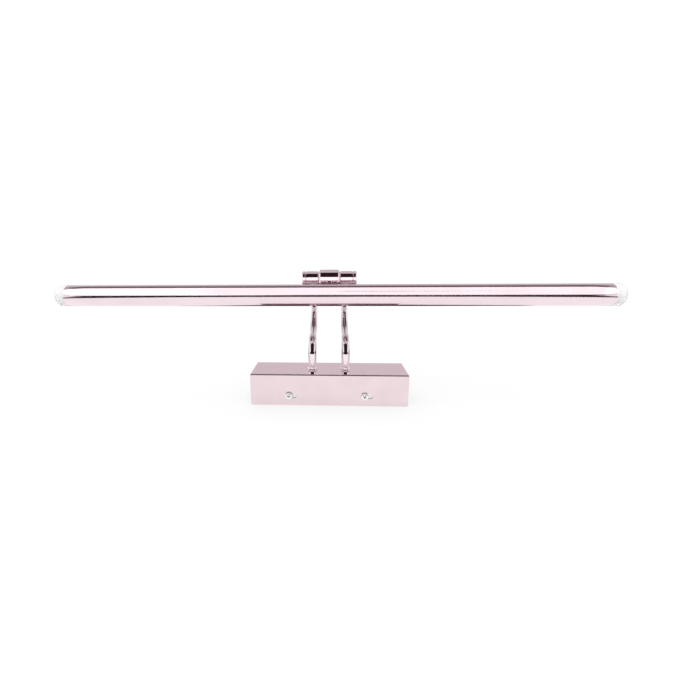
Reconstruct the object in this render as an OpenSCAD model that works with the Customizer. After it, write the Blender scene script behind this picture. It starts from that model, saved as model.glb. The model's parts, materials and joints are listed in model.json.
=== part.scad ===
// Tilting picture light: wall box, two swan-neck arms, friction knuckle and a long LED tube.
// Z = 0 is the wall plane and +Z points away from the wall. +X runs along the lamp tube.
// The cover screws of the -Y side and the smooth side of the tube face -Y.

/* [Wall box] */
// Length of the cover along X
box_length = 160; // [150:1:180]
// Depth of the cover along Y
box_depth = 42; // [42:1:50]
// Height of the cover above the wall
box_height = 33; // [33:1:40]
// Thickness of the cover's sheet metal
sheet = 1; // [0.8:0.1:1.2]
// Outside radius of the cover's folds
fold_radius = 1.5; // [1.3:0.1:3]

/* [Wall fixing] */
// Distance between the two wall slots
wall_slot_spacing = 124; // [122:1:126]
// End-to-end length of a wall slot
wall_slot_length = 10; // [8:1:10]
// Width of a wall slot
wall_slot_width = 5; // [4.5:0.1:5]
// Bore of the cable grommet
cable_bore = 7; // [6:0.5:7]

/* [Cover screws] */
// Distance between the centres of the cover's side slots
side_slot_spacing = 77; // [70:1:80]
// Height of the side slots above the wall
side_slot_height = 10.5; // [9:0.5:12]
// Sideways shift of the bracket inside the cover's slots
bracket_shift = -2.2; // [-2.5:0.1:0]

/* [Arms] */
// Outside diameter of an arm
arm_diameter = 8; // [7:0.5:8]
// Wall thickness of an arm
arm_wall = 1; // [0.8:0.1:1.2]
// Distance between the two arms
arm_spacing = 34.6; // [34.6:0.1:36]
// Straight rise of an arm above the box, up to its quarter bend
arm_rise = 14; // [8:1:20]
// Radius of the quarter bend
lower_bend_radius = 17; // [14:1:22]
// Straight run between the bends
arm_run = 4; // [2:1:10]
// Radius of the half-round upper bend
upper_bend_radius = 31; // [28:1:34]
// Straight run from the upper bend forward to the knuckle's axis
arm_tail = 13; // [11:1:16]

/* [Knuckle] */
// Overall length of the knuckle
knuckle_length = 54.4; // [52:0.1:56]
// Diameter of the two side barrels
side_barrel_diameter = 14.6; // [14.4:0.1:16]
// Diameter of the centre barrel
centre_barrel_diameter = 17.6; // [17:0.1:20]
// Length of the centre barrel
centre_barrel_length = 20.2; // [19:0.1:20.6]
// Length of the caps on the knuckle's ends
barrel_cap_length = 3.7; // [3:0.1:4]

/* [Lamp] */
// Overall length of the lamp with its end caps
lamp_length = 540; // [400:1:700]
// Outside diameter of the tube
lamp_diameter = 21; // [20:0.5:22]
// Visible length of an end cap with its seal
end_cap_length = 9; // [8:0.5:12]
// Place of the tube's axis along Y, from the knuckle's axis
lamp_offset_y = -20.5; // [-24:0.5:-18]
// Place of the tube's axis along Z, from the knuckle's axis
lamp_offset_z = -14.5; // [-16:0.5:-12]
// Direction in which the light leaves the tube, from +Y towards +Z
light_angle = 312; // [300:1:320]
// Half of the angle that the diffuser spans
diffuser_half_angle = 47; // [40:1:50]
// Number of LED chips along the board
chip_count = 54; // [30:1:60]

/* [Hidden] */
$fn = 64;

// Clearance between pieces that are pushed or brazed together
snug = 0.03;
// Radial clearance of the running fit in the knuckle
running = 0.06;
// Overshoot of cutting tools
over = 1;

// Wall bracket
plate = 1.5;
plate_length = box_length - 8;
plate_depth = box_depth - 6;
plate_corner = 3;
tab_gap = 0.1;
tab_width = 18;
tab_height = 16;
tab_face_y = box_depth / 2 - sheet - tab_gap;
tab_thread_radius = 2;
side_slot_length = 12;
side_slot_width = 5.6;
cover_screw_length = 5;
cover_head_radius = 4;
cover_head_height = 2.4;

// Parts on the bracket, placed along X from the middle of the bracket
grommet_x = 40;
grommet_neck_radius = 5;
grommet_flange_radius = 6.5;
grommet_height = 5;
terminal_x = 52;
terminal_width = 8;
terminal_length = 24;
terminal_height = 11;
terminal_poles = [-8, 0, 8];
terminal_wire_z = 6;
terminal_screw_radius = 1.9;
earth_x = 67;
earth_y = 8;
lead_radius = 0.9;
// Height of the lamp leads' knee above the lamp's axis
lead_knee = 4.35;
lug_thickness = 0.8;
lug_radius = 3.2;
small_screw_radius = 1.5;
small_head_radius = 2.8;
small_head_height = 1.8;

// LED driver
driver_x = -8;
driver_length = 68;
driver_depth = 30;
driver_height = 16;
driver_wall = 1.2;
driver_ear = 7;
driver_lid_thickness = 1.2;
lid_rim = 1.5;
board_thickness = 1.6;
board_lift = 3;
driver_top = plate + driver_height;
board_top = plate + driver_wall + board_lift + board_thickness;

// Arms
arm_radius = arm_diameter / 2;
arm_bore = arm_radius - arm_wall;
arm_stub = 9;
rosette_radius = 5.6;
rosette_height = 2.6;
rosette_edge = 1.2;
nut_across_flats = 13;
nut_height = 5.5;
washer_radius = 6.5;
washer_thickness = 1.2;

// Knuckle
knuckle_y = lower_bend_radius + arm_run - arm_tail;
knuckle_z = box_height + arm_rise + lower_bend_radius + 2 * upper_bend_radius;
side_radius = side_barrel_diameter / 2;
centre_radius = centre_barrel_diameter / 2;
friction_thickness = 0.5;
face_gap = 0.02;
web_start = centre_barrel_length / 2 + face_gap + friction_thickness;
web_thickness = 2.6;
web_end = web_start + web_thickness;
barrel_end = knuckle_length / 2 - barrel_cap_length;
counterbore = 5.6;
hinge_radius = 4;
hinge_bore = 2.7;
hinge_window = 8;
spring_thickness = 0.6;
hinge_nut_thickness = 2;
hinge_half = web_end + spring_thickness + hinge_nut_thickness + 0.2;
hinge_nut_radius = 5.3;
groove = 0.8;
cap_spigot = 1.7;
centre_chamfer = 1.2;

// Lamp
lamp_radius = lamp_diameter / 2;
lamp_y = knuckle_y + lamp_offset_y;
lamp_z = knuckle_z + lamp_offset_z;
shell_wall = 1;
shell_bore = lamp_radius - shell_wall;
shell_half = lamp_length / 2 - end_cap_length;
neck_angle = atan2(-lamp_offset_z, -lamp_offset_y);
neck_distance = norm([lamp_offset_y, lamp_offset_z]);
post_radius = 3.4;
post_inner_end = 5.5;
lead_hole = 2;
saddle_length = 25;
saddle_half_width = 4.6;
saddle_top = lamp_radius + 1.8;
saddle_screw_x = 9;
carrier_top = -4;
carrier_thickness = 1.2;
carrier_half_width = 7.2;
ledge = 0.9;
led_board_thickness = 1;
led_board_half_width = 5.5;
led_board_half = shell_half - 10;
chip_size = [3.5, 2.8];
chip_height = 0.7;
cap_plug_radius = 8.3;
cap_plug_bore = 7;
cap_plug_length = 7.5;
cap_wall = 1.3;
cap_corner = 1.5;
seal_thickness = 0.5;
cap_body = end_cap_length - seal_thickness;
wire_radius = 0.6;

// Colours
steel_pink = [0.86, 0.78, 0.81];
steel_plain = [0.72, 0.72, 0.74];
zinc = [0.66, 0.67, 0.68];
brass_yellow = [0.78, 0.62, 0.3];
clear_lilac = [0.9, 0.86, 0.94, 0.6];
frosted = [0.96, 0.96, 0.95, 0.8];
case_black = [0.12, 0.12, 0.13];
case_white = [0.9, 0.9, 0.88];
board_green = [0.1, 0.35, 0.2];
lead_red = [0.7, 0.15, 0.12];
lead_green = [0.35, 0.6, 0.2];

// ---------- helpers ----------

// A cylinder along X from x = from to x = to
module bar_x(from, to, r) {
    translate([from, 0, 0]) rotate([0, 90, 0]) cylinder(h = to - from, r = r);
}

// A section drawn in [Y, Z] and drawn out along X, centred
module prism_x(length) {
    rotate([90, 0, 90]) linear_extrude(length, center = true) children();
}

// A profile of [radius, X] turned round the X axis, on the +X side
module turned_x() {
    rotate([0, 90, 0]) rotate_extrude() children();
}

module rounded_rect(size, r) {
    square([size[0] - 2 * r, size[1]], center = true);
    square([size[0], size[1] - 2 * r], center = true);
    for (sx = [-1, 1], sy = [-1, 1])
        translate([sx * (size[0] / 2 - r), sy * (size[1] / 2 - r)]) circle(r);
}

// A slot along X, given its end-to-end length
module slot_2d(length, width) {
    square([length - width, width], center = true);
    for (s = [-1, 1]) translate([s * (length - width) / 2, 0]) circle(width / 2);
}

// Everything nearer than an angle of half_angle to the +X direction of the plane
module wedge_2d(half_angle) {
    reach = 2 * lamp_diameter;
    polygon([
        [0, 0], reach * [cos(half_angle), -sin(half_angle)], [1.5 * reach, 0],
        reach * [cos(half_angle), sin(half_angle)]
    ]);
}

// The frame of the knuckle's axis
module at_knuckle() {
    translate([0, knuckle_y, knuckle_z]) children();
}

// The frame of the tube: +Y is the way the light goes
module at_lamp() {
    translate([0, lamp_y, lamp_z]) rotate([light_angle, 0, 0]) children();
}

// The frame of the tube in which +Y points at the knuckle
module at_neck() {
    translate([0, lamp_y, lamp_z]) rotate([neck_angle, 0, 0]) children();
}

// The frame of the bracket, shifted sideways inside the cover
module at_bracket() {
    translate([bracket_shift, 0, 0]) children();
}

// Both sides of the lamp
module both_ends() {
    for (s = [0, 1]) mirror([s, 0, 0]) children();
}

// Steps of a bent tube in a plane: each draws its own stretch, then moves on along it
module run(length, r) {
    rotate([-90, 0, 0]) cylinder(h = length, r = r);
    translate([0, length, 0]) children();
}

module bend_left(bend_radius, angle, r) {
    translate([-bend_radius, 0, 0]) {
        rotate_extrude(angle = angle) translate([bend_radius, 0]) circle(r);
        rotate([0, 0, angle]) translate([bend_radius, 0, 0]) children();
    }
}

module bend_right(bend_radius, angle, r) {
    translate([bend_radius, 0, 0]) {
        rotate([0, 0, 180 - angle]) rotate_extrude(angle = angle)
            translate([bend_radius, 0]) circle(r);
        rotate([0, 0, -angle]) translate([-bend_radius, 0, 0]) children();
    }
}

// A solid of radius r along an arm, from below the box's top to short of the knuckle's axis
module along_arm(r, below, short_of_axis) {
    translate([0, 0, box_height - below]) rotate([90, 0, -90])
        run(below + arm_rise, r)
        bend_left(lower_bend_radius, 90, r)
        run(arm_run, r)
        bend_right(upper_bend_radius, 180, r)
        run(arm_tail - short_of_axis, r);
}

// A pan-head screw along -Z with its head above Z = 0, and a cross recess
module pan_screw(shank_radius, shank_length, head_radius, head_height) {
    dome = (head_radius * head_radius + head_height * head_height) / (2 * head_height);
    recess = 0.22 * head_radius;
    translate([0, 0, -shank_length]) cylinder(h = shank_length, r = shank_radius);
    difference() {
        intersection() {
            translate([0, 0, head_height - dome]) sphere(dome);
            cylinder(h = head_height, r = 0.96 * head_radius);
        }
        for (turn = [0, 90])
            rotate([0, 0, turn]) translate([0, 0, head_height])
                cube([1.15 * head_radius, recess, head_height], center = true);
    }
}

// ---------- wall bracket and what it carries ----------

module wall_bracket() color(zinc) at_bracket() difference() {
    union() {
        linear_extrude(plate) rounded_rect([plate_length, plate_depth], plate_corner);
        for (s = [-1, 1], side = [-1, 1])
            translate([s * side_slot_spacing / 2 - tab_width / 2, 0, 0]) {
                translate([0, side < 0 ? -tab_face_y : tab_face_y - plate, 0])
                    cube([tab_width, plate, tab_height]);
                translate([0, side < 0 ? -tab_face_y : plate_depth / 2 - plate, 0])
                    cube([tab_width, tab_face_y - plate_depth / 2 + plate, plate]);
            }
    }
    for (s = [-1, 1]) {
        translate([s * wall_slot_spacing / 2, 0, -over]) linear_extrude(plate + 2 * over)
            slot_2d(wall_slot_length, wall_slot_width);
        translate([s * side_slot_spacing / 2, 0, side_slot_height]) rotate([90, 0, 0])
            cylinder(h = 2 * box_depth, r = tab_thread_radius + snug, center = true);
    }
    translate([grommet_x, 0, -over]) cylinder(h = plate + 2 * over, r = grommet_neck_radius + snug);
    translate([earth_x, earth_y, -over]) cylinder(h = plate + 2 * over, r = small_screw_radius + snug);
    for (s = [-1, 1])
        translate([driver_x + s * (driver_length + driver_ear) / 2, 0, -over])
            cylinder(h = plate + 2 * over, r = small_screw_radius + snug);
}

module cable_grommet() color(case_black) at_bracket() translate([grommet_x, 0, 0]) difference() {
    union() {
        cylinder(h = grommet_height, r = grommet_neck_radius);
        translate([0, 0, plate]) cylinder(h = plate, r = grommet_flange_radius);
    }
    translate([0, 0, -over]) cylinder(h = grommet_height + 2 * over, r = cable_bore / 2);
}

module terminal_block() color(case_white) at_bracket() translate([terminal_x, 0, plate]) difference() {
    translate([-terminal_width / 2, -terminal_length / 2, 0])
        cube([terminal_width, terminal_length, terminal_height - plate]);
    for (y = terminal_poles) translate([0, y, 0]) {
        translate([0, 0, terminal_wire_z]) cylinder(h = terminal_height, r = terminal_screw_radius + snug);
        translate([0, 0, terminal_wire_z - plate])
            bar_x(-terminal_width, terminal_width, lead_radius + snug);
    }
    for (y = [-4, 4]) translate([-over, y - 0.5, terminal_height - plate - 4])
        cube([terminal_width, 1, 2 * plate + 2]);
}

module terminal_screws() color(brass_yellow) at_bracket() for (y = terminal_poles)
    translate([terminal_x, y, plate + terminal_wire_z]) difference() {
        cylinder(h = 2.6, r = terminal_screw_radius);
        translate([-3, -0.3, 1.8]) cube([6, 0.6, over]);
    }

module mains_leads() color(lead_red) at_bracket() for (y = [terminal_poles[0], terminal_poles[2]])
    translate([0, y, terminal_wire_z])
        bar_x(driver_x + driver_length / 2 - driver_wall, terminal_x - 1, lead_radius);

module earth_screw() color(zinc) at_bracket() translate([earth_x, earth_y, plate + lug_thickness])
    pan_screw(small_screw_radius, plate + lug_thickness, small_head_radius, small_head_height);

module earth_lead() color(lead_green) at_bracket() {
    translate([earth_x, earth_y, plate]) difference() {
        cylinder(h = lug_thickness, r = lug_radius);
        translate([0, 0, -over]) cylinder(h = lug_thickness + 2 * over, r = small_screw_radius + snug);
    }
    from = [terminal_x + terminal_width / 2 + 1, terminal_wire_z];
    to = [earth_x - lug_radius + 0.3, plate + lead_radius];
    slope = atan2(from[1] - to[1], to[0] - from[0]);
    translate([0, earth_y, from[1]]) bar_x(terminal_x + 1, from[0], lead_radius);
    translate([from[0], earth_y, from[1]]) rotate([0, 90 + slope, 0]) translate([0, 0, -lead_radius])
        cylinder(h = norm(to - from) + lead_radius, r = lead_radius);
}

module driver_case() color(case_white) at_bracket() translate([driver_x, 0, plate]) difference() {
    union() {
        translate([-driver_length / 2, -driver_depth / 2, 0])
            cube([driver_length, driver_depth, driver_height]);
        translate([-driver_length / 2 - driver_ear, -6, 0])
            cube([driver_length + 2 * driver_ear, 12, driver_wall]);
    }
    translate([driver_wall - driver_length / 2, driver_wall - driver_depth / 2, driver_wall])
        cube([driver_length - 2 * driver_wall, driver_depth - 2 * driver_wall, driver_height]);
    for (s = [-1, 1]) translate([s * (driver_length + driver_ear) / 2, 0, -over])
        cylinder(h = driver_wall + 2 * over, r = small_screw_radius + snug);
    for (y = [terminal_poles[0], terminal_poles[2]])
        translate([0, y, terminal_wire_z - plate]) bar_x(0, driver_length, lead_radius + snug);
}

module driver_lid() color(case_white) difference() {
    at_bracket() translate([driver_x, 0, driver_top]) {
        translate([-driver_length / 2, -driver_depth / 2, 0])
            cube([driver_length, driver_depth, driver_lid_thickness]);
        translate([0, 0, -lid_rim]) linear_extrude(lid_rim) difference() {
            square([driver_length, driver_depth] - 2 * (driver_wall + snug) * [1, 1], center = true);
            square([driver_length, driver_depth] - 2 * (driver_wall + 1) * [1, 1], center = true);
        }
    }
    for (s = [-1, 1]) translate([s * arm_spacing / 2, 0, driver_top - over])
        cylinder(h = driver_lid_thickness + 2 * over, r = lead_radius + snug);
}

module driver_board() color(board_green) at_bracket()
    translate([driver_x, 0, plate + driver_wall]) {
        for (x = [-29, 29], y = [-10, 10]) translate([x, y, 0]) cylinder(h = board_lift, r = 1.5);
        translate([2 - driver_length / 2, 2 - driver_depth / 2, board_lift])
            cube([driver_length - 4, driver_depth - 4, board_thickness]);
    }

module driver_components() color(case_black) at_bracket() translate([driver_x, 0, board_top]) {
    translate([-2, -9, 0]) cube([9, 15, 8]);
    translate([-26, 5, 0]) cylinder(h = 8.5, r = 4);
    translate([-26, -6, 0]) cylinder(h = 7, r = 3);
    translate([15, -8, 0]) cube([7, 7, 6]);
    translate([15, 4, 0]) cylinder(h = 7.5, r = 3.2);
    for (y = [-9, -3, 3]) translate([-18, y, 0]) cube([4, 2.5, 2]);
}

module driver_screws() color(zinc) at_bracket() for (s = [-1, 1])
    translate([driver_x + s * (driver_length + driver_ear) / 2, 0, plate + driver_wall])
        pan_screw(small_screw_radius, plate + driver_wall, small_head_radius, small_head_height);

// ---------- cover ----------

// The outer block of the cover, with rounded folds round its top
module folded_block(length, depth, height, r) {
    intersection() {
        prism_x(length) translate([0, height / 2 - over / 2]) rounded_rect([depth, height + over], r);
        rotate([90, 0, 0]) linear_extrude(2 * depth, center = true)
            translate([0, height / 2 - over / 2]) rounded_rect([length, height + over], r);
        translate([-length, -depth, 0]) cube([2 * length, 2 * depth, 2 * height]);
        translate([0, 0, -over]) linear_extrude(2 * height) rounded_rect([length, depth], r);
    }
}

module cover_box() color(steel_pink) difference() {
    folded_block(box_length, box_depth, box_height, fold_radius);
    translate([sheet - box_length / 2, sheet - box_depth / 2, -over])
        cube([box_length - 2 * sheet, box_depth - 2 * sheet, box_height - sheet + over]);
    for (s = [-1, 1]) {
        translate([s * arm_spacing / 2, 0, 0]) cylinder(h = 2 * box_height, r = arm_radius + snug);
        translate([s * side_slot_spacing / 2, 0, side_slot_height]) rotate([90, 0, 0])
            linear_extrude(2 * box_depth, center = true) slot_2d(side_slot_length, side_slot_width);
    }
}

module cover_screws() color(steel_pink) for (s = [-1, 1], side = [0, 180])
    translate([bracket_shift + s * side_slot_spacing / 2, 0, side_slot_height]) rotate([0, 0, side])
        translate([0, -box_depth / 2, 0]) rotate([90, 0, 0])
            pan_screw(tab_thread_radius, cover_screw_length, cover_head_radius, cover_head_height);

// ---------- arms ----------

module arm_tube() color(steel_pink) difference() {
    along_arm(arm_radius, sheet + arm_stub, counterbore);
    along_arm(arm_bore, sheet + arm_stub + over, counterbore - over);
}

module arm_left() translate([-arm_spacing / 2, 0, 0]) arm_tube();

module arm_right() translate([arm_spacing / 2, 0, 0]) arm_tube();

module arm_rosettes() color(steel_pink) for (s = [-1, 1])
    translate([s * arm_spacing / 2, 0, box_height]) rotate_extrude() polygon([
        [arm_radius + snug, 0], [rosette_radius, 0], [rosette_radius, rosette_edge],
        [rosette_radius - 0.9, rosette_height], [arm_radius + snug, rosette_height]
    ]);

module arm_washers() color(zinc) for (s = [-1, 1])
    translate([s * arm_spacing / 2, 0, box_height - sheet - washer_thickness]) difference() {
        cylinder(h = washer_thickness, r = washer_radius);
        translate([0, 0, -over]) cylinder(h = washer_thickness + 2 * over, r = arm_radius + snug);
    }

module arm_nuts() color(zinc) for (s = [-1, 1])
    translate([s * arm_spacing / 2, 0, box_height - sheet - washer_thickness - nut_height])
        difference() {
            cylinder(h = nut_height, r = nut_across_flats / sqrt(3), $fn = 6);
            translate([0, 0, -over]) cylinder(h = nut_height + 2 * over, r = arm_radius + snug);
        }

module arm_leads() color(lead_red) for (s = [-1, 1]) translate([s * arm_spacing / 2, 0, 0])
    along_arm(lead_radius, box_height - board_top, counterbore - 1.5);

// ---------- knuckle ----------

// The side barrel of the +X side; the arm comes in from behind
module side_barrel() color(steel_pink) difference() {
    turned_x() polygon([
        [hinge_radius + snug, web_start], [side_radius - groove, web_start],
        [side_radius, web_start + groove], [side_radius, barrel_end - groove],
        [side_radius - groove, barrel_end], [counterbore, barrel_end],
        [counterbore, web_end], [hinge_radius + snug, web_end]
    ]);
    translate([arm_spacing / 2, 0, 0]) rotate([-90, 0, 0])
        cylinder(h = 2 * side_radius, r = arm_radius + snug);
}

module barrel_left() at_knuckle() mirror([1, 0, 0]) side_barrel();

module barrel_right() at_knuckle() side_barrel();

module barrel_cap() color(steel_pink) turned_x() polygon([
    [0, barrel_end - cap_spigot], [counterbore - snug, barrel_end - cap_spigot],
    [counterbore - snug, barrel_end],
    [side_radius - groove, barrel_end], [side_radius, barrel_end + groove],
    [side_radius, knuckle_length / 2 - groove], [side_radius - groove, knuckle_length / 2],
    [0, knuckle_length / 2]
]);

module barrel_cap_left() at_knuckle() mirror([1, 0, 0]) barrel_cap();

module barrel_cap_right() at_knuckle() barrel_cap();

module hinge_tube() color(zinc) at_knuckle() difference() {
    bar_x(-hinge_half, hinge_half, hinge_radius);
    bar_x(-hinge_half - over, hinge_half + over, hinge_bore);
    rotate([neck_angle, 0, 0]) translate([-hinge_window / 2, -2 * hinge_radius, -hinge_radius])
        cube([hinge_window, 2 * hinge_radius, 2 * hinge_radius]);
}

module hinge_nuts() color(zinc) at_knuckle() both_ends() difference() {
    bar_x(web_end + spring_thickness, web_end + spring_thickness + hinge_nut_thickness, hinge_nut_radius);
    bar_x(web_end, hinge_half + over, hinge_radius + snug);
    for (turn = [0, 90]) rotate([turn, 0, 0])
        translate([web_end + spring_thickness + 1.2, -0.6, -hinge_nut_radius - over])
            cube([2, 1.2, 2 * (hinge_nut_radius + over)]);
}

module spring_washers() color(steel_plain) at_knuckle() both_ends() turned_x() polygon([
    [hinge_radius + snug, web_end + 0.25], [hinge_nut_radius, web_end],
    [hinge_nut_radius, web_end + 0.35], [hinge_radius + snug, web_end + spring_thickness]
]);

module friction_washers() color(case_white) at_knuckle() both_ends() difference() {
    bar_x(web_start - friction_thickness, web_start, side_radius - groove - 0.1);
    bar_x(0, barrel_end, hinge_radius + snug);
}

module centre_barrel() color(steel_pink) at_knuckle() difference() {
    rotate([0, 90, 0]) rotate_extrude() polygon([
        [hinge_radius + running, -centre_barrel_length / 2],
        [centre_radius - centre_chamfer, -centre_barrel_length / 2],
        [centre_radius, centre_chamfer - centre_barrel_length / 2],
        [centre_radius, centre_barrel_length / 2 - centre_chamfer],
        [centre_radius - centre_chamfer, centre_barrel_length / 2],
        [hinge_radius + running, centre_barrel_length / 2]
    ]);
    rotate([90 + neck_angle, 0, 0]) translate([0, 0, post_inner_end])
        cylinder(h = centre_radius, r = post_radius + snug);
    rotate([90 + neck_angle, 0, 0]) cylinder(h = centre_radius, r = lead_hole);
}

// ---------- lamp ----------

module lamp_saddle() color(steel_pink) at_neck() difference() {
    union() {
        translate([-saddle_length / 2, 0, -saddle_half_width])
            cube([saddle_length, saddle_top, 2 * saddle_half_width]);
        rotate([-90, 0, 0]) cylinder(h = neck_distance - post_inner_end - snug, r = post_radius);
    }
    bar_x(-saddle_length, saddle_length, lamp_radius + snug);
    rotate([-90, 0, 0]) cylinder(h = neck_distance, r = lead_hole);
    for (s = [-1, 1]) translate([s * saddle_screw_x, 0, 0]) rotate([-90, 0, 0])
        cylinder(h = saddle_top - 0.8, r = small_screw_radius + snug);
}

module saddle_screws() color(zinc) at_neck() for (s = [-1, 1])
    translate([s * saddle_screw_x, shell_bore - 0.45, 0]) rotate([90, 0, 0])
        pan_screw(small_screw_radius, saddle_top - shell_bore - 0.5, small_head_radius - 0.3, 1.5);

// Section of the open tube; the light leaves along +X
module shell_section() difference() {
    circle(lamp_radius);
    circle(shell_bore);
    wedge_2d(diffuser_half_angle);
}

// Section of the two grooves inside the tube that hold the carrier
module groove_section() intersection() {
    circle(lamp_radius - shell_wall / 2);
    for (s = [0, 1]) mirror([0, s]) {
        translate([carrier_top - carrier_thickness - ledge - snug, 5.8]) square([ledge, lamp_radius]);
        translate([carrier_top + snug, 6.6]) square([ledge, lamp_radius]);
    }
}

module lamp_shell() color(steel_pink) difference() {
    at_lamp() {
        prism_x(2 * shell_half) shell_section();
        prism_x(2 * led_board_half) groove_section();
    }
    at_neck() {
        rotate([-90, 0, 0]) cylinder(h = lamp_diameter, r = lead_hole);
        for (s = [-1, 1]) translate([s * saddle_screw_x, 0, 0]) rotate([-90, 0, 0])
            cylinder(h = lamp_diameter, r = small_screw_radius + snug);
    }
}

module led_carrier() color(steel_plain) at_lamp()
    translate([-led_board_half, carrier_top - carrier_thickness, -carrier_half_width])
        cube([2 * led_board_half, carrier_thickness, 2 * carrier_half_width]);

module led_board() color(case_white) at_lamp()
    translate([-led_board_half, carrier_top, -led_board_half_width])
        cube([2 * led_board_half, led_board_thickness, 2 * led_board_half_width]);

module led_chips() color(brass_yellow) at_lamp() for (i = [0 : chip_count - 1]) {
    pitch = 2 * led_board_half / chip_count;
    translate([(i + 0.5) * pitch - led_board_half - chip_size[0] / 2,
        carrier_top + led_board_thickness, -chip_size[1] / 2])
        cube([chip_size[0], chip_height, chip_size[1]]);
}

module diffuser() color(frosted) at_lamp() prism_x(2 * shell_half - snug) {
    intersection() {
        difference() {
            circle(lamp_radius - 0.05);
            circle(lamp_radius - 1.5);
        }
        wedge_2d(diffuser_half_angle - 0.4);
    }
    intersection() {
        difference() {
            circle(shell_bore - 0.1);
            circle(shell_bore - 0.9);
        }
        wedge_2d(diffuser_half_angle + 6);
    }
}

module cap_seals() color(frosted) at_lamp() both_ends() turned_x()
    translate([cap_plug_radius + snug, shell_half])
        square([lamp_radius - 0.2 - cap_plug_radius, seal_thickness]);

// A clear hollow cap with a plug, of the +X end
module end_cap() color(clear_lilac) at_lamp() translate([shell_half + seal_thickness, 0, 0])
    turned_x() {
        difference() {
            union() {
                square([lamp_radius, cap_body - cap_corner]);
                square([lamp_radius - cap_corner, cap_body]);
                translate([lamp_radius - cap_corner, cap_body - cap_corner]) circle(cap_corner);
            }
            translate([0, cap_wall]) square([lamp_radius - cap_wall, cap_body - 2 * cap_wall]);
            translate([0, -over]) square([cap_plug_bore, 2 * over + cap_wall]);
        }
        translate([cap_plug_bore, -cap_plug_length])
            square([cap_plug_radius - cap_plug_bore, cap_plug_length + cap_wall / 2]);
    }

module end_cap_left() mirror([1, 0, 0]) end_cap();

module end_cap_right() end_cap();

// Two leads from the knuckle to the board, each with a knee
module lamp_leads() color(lead_red) at_neck() for (x = [-1, 1]) translate([x, lead_knee, 0]) {
    rotate([-90, 0, 0])
        cylinder(h = neck_distance - post_inner_end - lead_knee, r = wire_radius);
    sphere(wire_radius + snug);
    rotate([light_angle - neck_angle - 270, 0, 0]) cylinder(h = 3.45, r = wire_radius);
}

wall_bracket();
cable_grommet();
terminal_block();
terminal_screws();
mains_leads();
earth_screw();
earth_lead();
driver_case();
driver_lid();
driver_board();
driver_components();
driver_screws();
cover_box();
cover_screws();
arm_left();
arm_right();
arm_rosettes();
arm_washers();
arm_nuts();
arm_leads();
barrel_left();
barrel_right();
barrel_cap_left();
barrel_cap_right();
hinge_tube();
hinge_nuts();
spring_washers();
friction_washers();
centre_barrel();
lamp_saddle();
saddle_screws();
lamp_shell();
led_carrier();
led_board();
led_chips();
diffuser();
cap_seals();
end_cap_left();
end_cap_right();
lamp_leads();
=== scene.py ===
"""A wall-mounted picture light: a chromed tube on a tilting knuckle, two swan-neck arms, a folded box."""

import json
import math

import bmesh
import bpy
from mathutils import Matrix, Vector

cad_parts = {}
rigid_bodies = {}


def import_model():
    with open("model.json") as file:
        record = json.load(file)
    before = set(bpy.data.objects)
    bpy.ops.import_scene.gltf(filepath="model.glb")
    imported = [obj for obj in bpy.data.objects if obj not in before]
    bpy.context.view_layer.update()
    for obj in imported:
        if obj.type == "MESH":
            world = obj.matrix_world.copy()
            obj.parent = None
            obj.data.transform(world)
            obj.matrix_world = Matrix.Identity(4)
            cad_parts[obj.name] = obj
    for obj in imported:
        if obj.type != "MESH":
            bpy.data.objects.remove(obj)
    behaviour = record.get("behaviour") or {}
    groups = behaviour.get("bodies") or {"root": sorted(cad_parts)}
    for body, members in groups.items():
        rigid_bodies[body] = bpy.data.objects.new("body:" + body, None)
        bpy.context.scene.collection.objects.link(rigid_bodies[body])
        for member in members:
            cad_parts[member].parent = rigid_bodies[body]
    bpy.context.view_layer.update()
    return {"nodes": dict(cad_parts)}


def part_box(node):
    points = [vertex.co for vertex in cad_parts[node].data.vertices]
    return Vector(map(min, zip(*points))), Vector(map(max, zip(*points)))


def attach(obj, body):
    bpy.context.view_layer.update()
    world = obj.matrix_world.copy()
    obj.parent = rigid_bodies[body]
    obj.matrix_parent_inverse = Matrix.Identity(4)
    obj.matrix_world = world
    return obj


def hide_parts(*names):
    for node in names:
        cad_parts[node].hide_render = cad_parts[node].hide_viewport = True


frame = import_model()
nodes = frame["nodes"]
scene = bpy.context.scene
MM = 0.001

# ---------- camera ----------

EYE = Vector((0.5, -369.6, 154.4)) * MM
YAW, PITCH, ROLL = (math.radians(a) for a in (3.208, 14.105, -0.513))
LENS, SENSOR = 19.49, 36
SHIFT = (0.0442, 0.0039)


def look_from_the_front():
    right = Vector((math.cos(YAW), math.sin(YAW), 0))
    ahead = Vector((-math.sin(YAW) * math.cos(PITCH), math.cos(YAW) * math.cos(PITCH), -math.sin(PITCH)))
    up = right.cross(ahead)
    across = math.cos(ROLL) * right + math.sin(ROLL) * up
    upward = math.cos(ROLL) * up - math.sin(ROLL) * right
    data = bpy.data.cameras.new("camera")
    data.sensor_width, data.lens = SENSOR, LENS
    data.shift_x, data.shift_y = SHIFT
    data.clip_start, data.clip_end = 0.01, 50
    eye = bpy.data.objects.new("camera", data)
    eye.matrix_world = Matrix((
        (across.x, upward.x, -ahead.x, EYE.x), (across.y, upward.y, -ahead.y, EYE.y),
        (across.z, upward.z, -ahead.z, EYE.z), (0, 0, 0, 1)))
    scene.collection.objects.link(eye)
    scene.camera = eye


look_from_the_front()

# ---------- dimensions in mm: the frame's own, or the same as in the CAD ----------


def middle(node):
    low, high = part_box(node)
    return (low + high) / 2 / MM


SIDES = ((-1, "left"), (1, "right"))

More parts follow.
